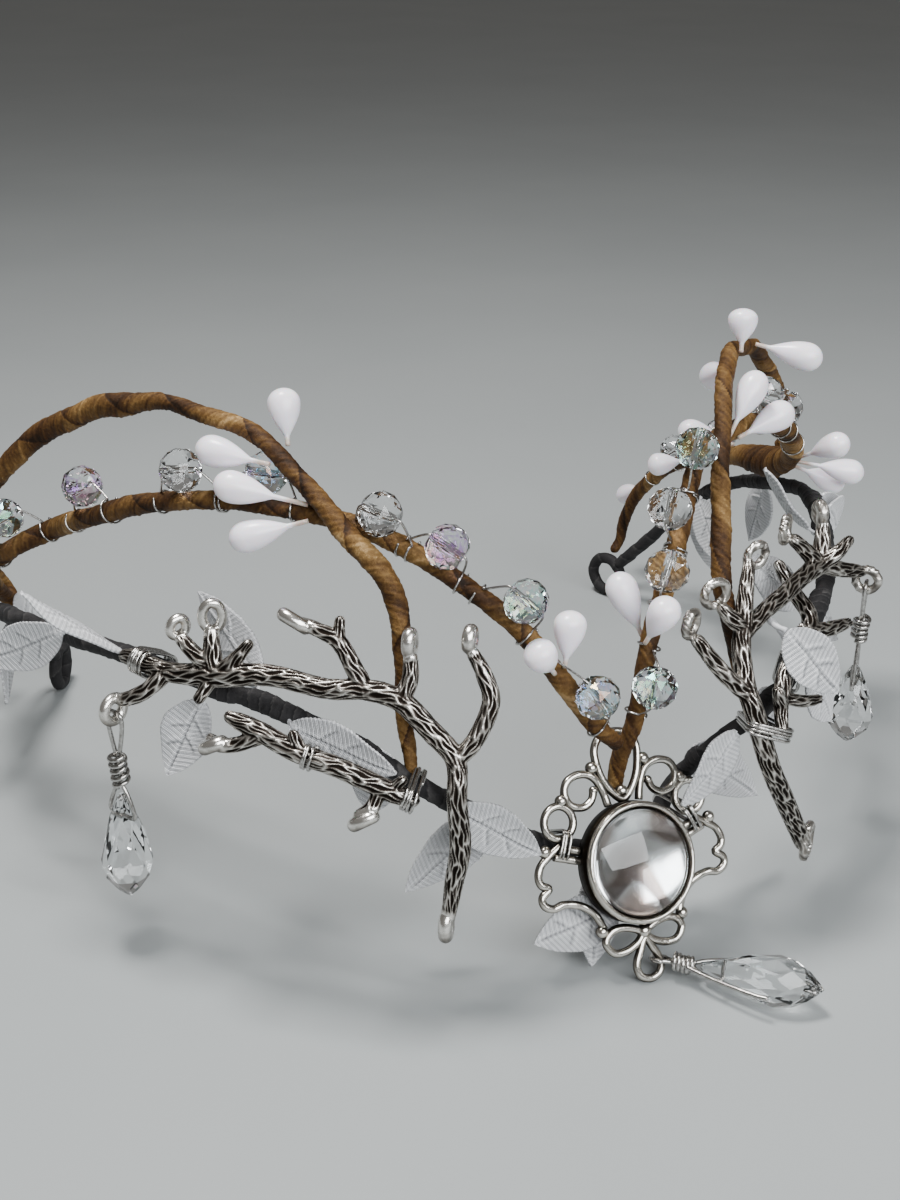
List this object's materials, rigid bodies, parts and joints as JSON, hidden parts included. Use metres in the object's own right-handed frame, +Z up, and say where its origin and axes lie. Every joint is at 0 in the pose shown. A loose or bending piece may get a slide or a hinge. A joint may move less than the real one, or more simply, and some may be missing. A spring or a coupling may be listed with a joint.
{
  "type": "elf tiara",
  "caption": "Open horseshoe tiara of taped wire with twig castings, cloth leaves, glass beads, white pips, a filigree brow medallion and hanging glass drops.",
  "frame": {"origin": "middle of the bounding box at the height of the surface that it stands on", "axes": "+Z up, -Y to the front where the medallion is, +X to the picture's right, which is the wearer's left"},
  "size_m": [0.1938, 0.175, 0.1029],
  "materials": {
    "black_tape": "matte waxed tape wound over steel wire",
    "brown_tape": "crinkled paper tape wound over steel wire, dull",
    "silver_wire": "plain drawn wire",
    "leaf_cloth": "ribbed silver cloth with embossed veins, slight sheen",
    "antique_silver": "cast tin alloy, silvered, dark in the recesses",
    "cabochon_glass": "polished clear dome",
    "clear_glass": "polished facets",
    "pip_white": "satin, pearly"
  },
  "bodies": {
    "circlet": {"base_wire": "black_tape", "end_loop_left": "black_tape", "end_loop_right": "black_tape", "arch_left": "brown_tape", "arch_right": "brown_tape", "stem_left": "brown_tape", "stem_right": "brown_tape", "bead_wire_left": "silver_wire", "bead_wire_right": "silver_wire", "leaves_left": "leaf_cloth", "leaves_right": "leaf_cloth", "twig_left_upper": "antique_silver", "twig_left_lower": "antique_silver", "twig_right_upper": "antique_silver", "twig_right_lower": "antique_silver", "binding_left_hub": "silver_wire", "binding_left_mid": "silver_wire", "binding_left_front": "silver_wire", "binding_right_front": "silver_wire", "binding_right_lower": "silver_wire", "binding_medallion": "silver_wire", "medallion": "antique_silver", "cabochon": "cabochon_glass", "pips_left_brow": "pip_white", "pips_left_stem": "pip_white", "pips_left_arch": "pip_white", "pips_left_rear": "pip_white", "pips_right_brow": "pip_white", "pips_right_stem": "pip_white", "pips_right_arch": "pip_white", "pips_right_side": "pip_white", "pips_right_rear": "pip_white", "drop_stone_centre": "clear_glass", "drop_wire_centre": "silver_wire", "bead_left_1": "clear_glass", "bead_left_2": "clear_glass", "bead_left_3": "clear_glass", "bead_left_4": "clear_glass", "bead_left_5": "clear_glass", "bead_left_6": "clear_glass", "bead_left_7": "clear_glass", "bead_left_8": "clear_glass", "bead_right_1": "clear_glass", "bead_right_2": "clear_glass", "bead_right_3": "clear_glass", "bead_right_4": "clear_glass", "bead_right_5": "clear_glass", "bead_right_6": "clear_glass", "bead_right_7": "clear_glass", "bead_right_8": "clear_glass"},
    "drop_left": {"drop_stone_left": "clear_glass", "drop_wire_left": "silver_wire"},
    "drop_right": {"drop_stone_right": "clear_glass", "drop_wire_right": "silver_wire"}
  },
  "joints": [
    {"name": "drop_left_swing", "type": "hinge", "parent": "circlet", "child": "drop_left", "pos_m": [-0.07543, -0.02211, 0.0473], "axis": [0.5136, -0.858, 0], "range_deg": [-60, 30]},
    {"name": "drop_right_swing", "type": "hinge", "parent": "circlet", "child": "drop_right", "pos_m": [0.06563, -0.03741, 0.0534], "axis": [0.6975, 0.7165, 0], "range_deg": [-60, 10]}
  ]
}
